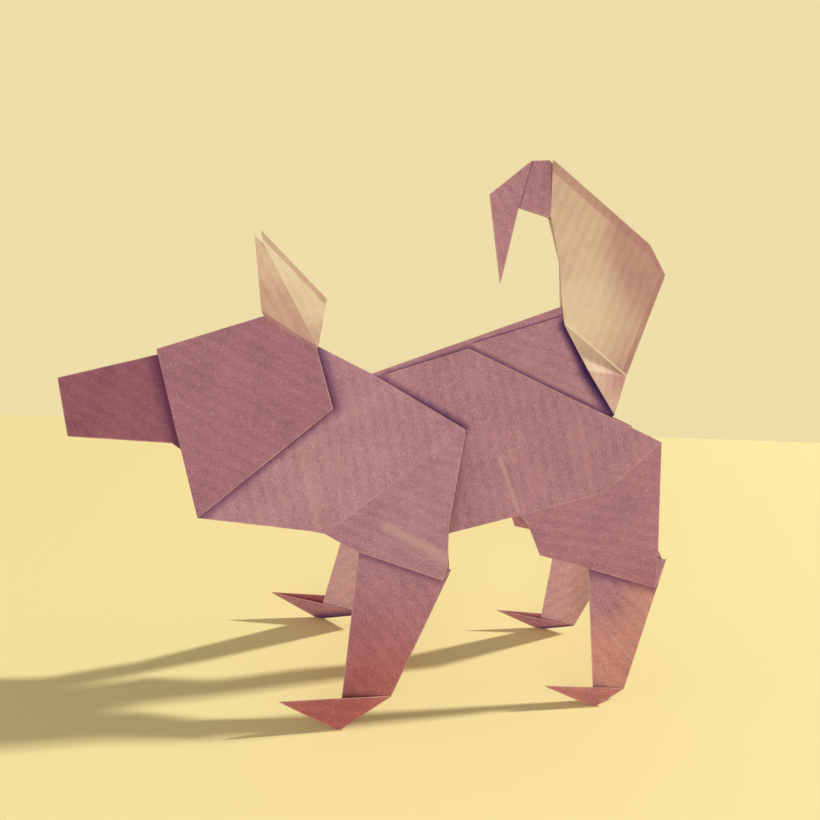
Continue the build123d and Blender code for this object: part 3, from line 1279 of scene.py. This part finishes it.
    def painted_table_light_fade(self, tree: Tree) -> Socket:
        """Painted reddish light from the table on the lower legs, fading out upwards."""
        coordinates = add_node(tree, "ShaderNodeTexCoord").outputs["Object"]
        up = add_node(tree, "ShaderNodeSeparateXYZ", {"Vector": coordinates}).outputs["Z"]
        near = self.fade(tree, up, 0.0, self.painted_table_light_height * MILLIMETRE)
        near = self.maths(tree, "MULTIPLY", near, self.attribute(tree, "ground"))
        return self.maths(tree, "MULTIPLY", near, self.painted_table_light_share)

    def shaded(self, tree: Tree, colour: Socket) -> Socket:
        """The colour times the panel's painted shade and the hem's, each channel to its own power.

        Painted shade is redder as well as darker, as paper lit by other paper is.
        """
        hem = self.maths(tree, "MULTIPLY_ADD", self.hem(tree), self.hem_shade - 1, 1.0)
        shade = self.maths(tree, "MULTIPLY", self.attribute(tree, "shade"), hem)
        grey = add_node(tree, "ShaderNodeCombineColor", {
            channel: self.maths(tree, "POWER", shade, power)
            for channel, power in zip(("Red", "Green", "Blue"), self.shade_powers)
        }).outputs["Color"]
        return add_node(tree, "ShaderNodeMix", {
            "Factor": 1.0, "A": colour, "B": grey,
        }, data_type="RGBA", blend_type="MULTIPLY").outputs["Result"]

    def flecks(self, tree: Tree) -> Socket:
        """Pale ends of fibres: the peaks of a fine noise."""
        grain = self.noise(tree, self.fleck_size, detail=1.0)
        peaks = self.fade(tree, grain, self.fleck_peak + self.fleck_rise, self.fleck_peak)
        return self.maths(tree, "MULTIPLY", peaks, self.fleck_share)

    def worn_lines(self, tree: Tree, cloud: Socket) -> Socket:
        """Pale lines on the folds, broken by the clouds of the pulp, and the opened creases."""
        fold = self.fade(tree, self.attribute(tree, "edge"), self.worn_core, self.worn_width)
        broken = self.maths(tree, "MULTIPLY_ADD", cloud, self.worn_break, self.worn_share)
        total = self.maths(tree, "MULTIPLY", fold, broken)
        for name in ("crease", "streak"):
            total = self.maths(tree, "MAXIMUM", total, self.line(tree, name))
        return self.maths(tree, "MULTIPLY", total, 1.0, clamp=True)


@dataclass(frozen=True)
class SingleKraft(RibbedKraft):
    """One layer of the same ribbed kraft, as in the ears and the tail.

    It is thin enough for daylight to come through, so it looks tan and warmer than folded layers,
    and the clouds of the pulp show more. The light is drawn as paler paper: none passes through.
    """

    name: str = "single_layer_kraft_paper"
    fibre_dark: str = "#a87f78"
    fibre_light: str = "#d0a8a0"
    lit: str = "#e4d4b5"
    cloud: float = 4.5
    cloud_contrast: float = 0.5
    speckle_contrast: float = 0.5
    fibre_contrast: float = 0.25
    fleck_share: float = 0.1
    rib_pitch: float = 2.1
    painted_table_light_share: float = 0.0
    worn: str = "#f3dcc0"
    worn_share: float = -1.0


@dataclass(frozen=True)
class PaleTable:
    """A table top painted matt in pale cream, smooth and plain.

    Attributes:
        name: the material's name.
        paint: sRGB hex code.
        roughness: roughness of its gloss.
        width: metres from side to side.
        front: Y of its front edge, in metres.
        back: Y of its back edge, in metres.
        columns: faces across its width.
        rows: faces from front to back.
    """

    name: str = "matt_cream_paint"
    paint: str = "#fcefae"
    roughness: float = 0.7
    width: float = 2.0
    front: float = -0.6
    back: float = 0.225
    columns: int = 12
    rows: int = 8

    def build(self) -> bpy.types.Object:
        """Makes the table top: place(s, t) = (width * (s - half), front + (back - front) * t, 0).

        Returns:
            The table top.
        """
        across, along = np.linspace(0, 1, self.columns + 1), np.linspace(0, 1, self.rows + 1)
        s, t = np.meshgrid(across, along, indexing="ij")
        depth = self.back - self.front
        points = np.stack([self.width * (s - 0.5), self.front + depth * t, 0 * s], axis=-1)
        stride = self.rows + 1
        corner = (np.arange(self.columns)[:, None] * stride + np.arange(self.rows)[None, :]).ravel()
        faces = np.stack([corner, corner + stride, corner + stride + 1, corner + 1], axis=1)
        mesh = bpy.data.meshes.new("table_top")
        mesh.from_pydata(points.reshape(-1, 3).tolist(), [], faces.tolist())
        table = bpy.data.objects.new("table_top", mesh)
        bpy.context.scene.collection.objects.link(table)
        material = bpy.data.materials.new(self.name)
        material.use_nodes = True
        shader = material.node_tree.nodes["Principled BSDF"]
        shader.inputs["Base Color"].default_value = linear_colour(self.paint)
        shader.inputs["Roughness"].default_value = self.roughness
        mesh.materials.append(material)
        return table


@dataclass(frozen=True)
class Lamp:
    """A square soft lamp that faces the dog.

    Attributes:
        place: where it stands, in metres.
        size: its width and height, in metres.
        power: watts.
        colour: sRGB hex code.
        aim: the height on the dog that it faces, in metres.
    """

    place: tuple[float, float, float]
    size: float
    power: float
    colour: str
    aim: float = 0.04

    def build(self, name: str) -> None:
        """Makes the lamp. Its axes are right, up and away from the dog."""
        light = bpy.data.lights.new(name, "AREA")
        light.size = self.size
        light.energy = self.power
        light.color = linear_colour(self.colour)[:3]
        away = unit(np.array(self.place) - np.array([0.0, 0.0, self.aim]))
        right = unit(np.cross([0.0, 0.0, 1.0], away))
        turn = np.stack([right, np.cross(away, right), away], axis=1)
        lamp = bpy.data.objects.new(name, light)
        lamp.matrix_world = Matrix.Translation(self.place) @ Matrix(turn.tolist()).to_4x4()
        bpy.context.scene.collection.objects.link(lamp)


@dataclass(frozen=True)
class Studio:
    """Plain soft light: an even sky, a lamp behind the tail, and a wide soft one in front.

    Attributes:
        backdrop: what the camera sees beyond the table.
        sky: colour of the even light.
        sky_strength: its brightness, where 1 is white.
        lamps: the lamps, by name.
    """

    backdrop: str = "#eedda8"
    sky: str = "#fff2e0"
    sky_strength: float = 0.33
    lamps: dict[str, Lamp] = field(default_factory=lambda: {
        "low_lamp": Lamp((4.02, 0.88, 2.48), 0.20, 240.0, "#fffaf0"),
        "front_lamp": Lamp((-0.30, -1.0, 0.20), 0.45, 4.5, "#f9f1ff"),
    })

    def build(self) -> None:
        """Makes the world and the lamps."""
        world = bpy.data.worlds.new("studio")
        bpy.context.scene.world = world
        world.use_nodes = True
        tree = world.node_tree
        tree.nodes.clear()
        path = add_node(tree, "ShaderNodeLightPath")
        seen = path.outputs["Is Camera Ray"]
        for ray in ("Is Glossy Ray", "Is Transmission Ray"):
            either = add_node(
                tree, "ShaderNodeMath", {0: seen, 1: path.outputs[ray]}, operation="MAXIMUM",
            )
            seen = either.outputs["Value"]
        sky = add_node(tree, "ShaderNodeBackground", {
            "Color": linear_colour(self.sky), "Strength": self.sky_strength,
        })
        backdrop = add_node(tree, "ShaderNodeBackground", {
            "Color": linear_colour(self.backdrop), "Strength": 1.0,
        })
        mix = add_node(tree, "ShaderNodeMixShader", {
            0: seen, 1: sky.outputs["Background"], 2: backdrop.outputs["Background"],
        })
        add_node(tree, "ShaderNodeOutputWorld", {"Surface": mix.outputs["Shader"]})
        for name, lamp in self.lamps.items():
            lamp.build(name)


@dataclass(frozen=True)
class Viewpoint:
    """The photograph's camera, worked out from the dog's proportions.

    Attributes:
        place: where it stands, in metres.
        yaw: degrees that it turns from the dog's right side towards its tail.
        pitch: degrees that it looks down.
        roll: degrees that it leans.
        focal_pixels: focal length over the width of a pixel.
        frame_pixels: width of the picture.
        sensor_width: millimetres.
    """

    place: tuple[float, float, float] = (-26.8 * MILLIMETRE, -173.3 * MILLIMETRE, 88.85 * MILLIMETRE)
    yaw: float = 10.7
    pitch: float = 11.2
    roll: float = 4.3
    focal_pixels: float = 921.0
    frame_pixels: float = 820.0
    sensor_width: float = 36.0

    def build(self) -> None:
        """Makes the scene's camera.

        It looks along (sin yaw cos pitch, cos yaw cos pitch, -sin pitch), and its right and up
        directions are turned about that by the roll.
        """
        yaw, pitch, roll = (math.radians(angle) for angle in (self.yaw, self.pitch, self.roll))
        level_run = math.cos(pitch)
        ahead = np.array([math.sin(yaw) * level_run, math.cos(yaw) * level_run, -math.sin(pitch)])
        level = np.array([math.cos(yaw), -math.sin(yaw), 0.0])
        rise = np.cross(level, ahead)
        right = level * math.cos(roll) + rise * math.sin(roll)
        up = rise * math.cos(roll) - level * math.sin(roll)
        data = bpy.data.cameras.new("camera")
        data.sensor_width = self.sensor_width
        data.lens = data.sensor_width * self.focal_pixels / self.frame_pixels
        camera = bpy.data.objects.new("camera", data)
        turn = np.stack([right, up, -ahead], axis=1)
        camera.matrix_world = Matrix.Translation(self.place) @ Matrix(turn.tolist()).to_4x4()
        bpy.context.scene.collection.objects.link(camera)
        bpy.context.scene.camera = camera


def main() -> None:
    """Sets the stage, then builds and dresses the parts of the dog from nose to tail."""
    logging.basicConfig(level=logging.INFO, format="%(name)s: %(message)s")
    bpy.context.scene.view_settings.view_transform = "Standard"
    Viewpoint().build()
    Studio().build()
    PaleTable().build()
    finishes = {Ply.FOLDED: RibbedKraft().make(), Ply.SINGLE: SingleKraft().make()}
    parts = [Head(), Ears(), Neck(), FrontLegs(), Body(), HindLegs(), Tail(), TailCurl()]
    places = {
        side: {title: spot for part in parts for title, spot in part.place(side).items()} for side in Side
    }
    for part in parts:
        part.dress(part.build(places), finishes)


if __name__ == "__main__":
    main()
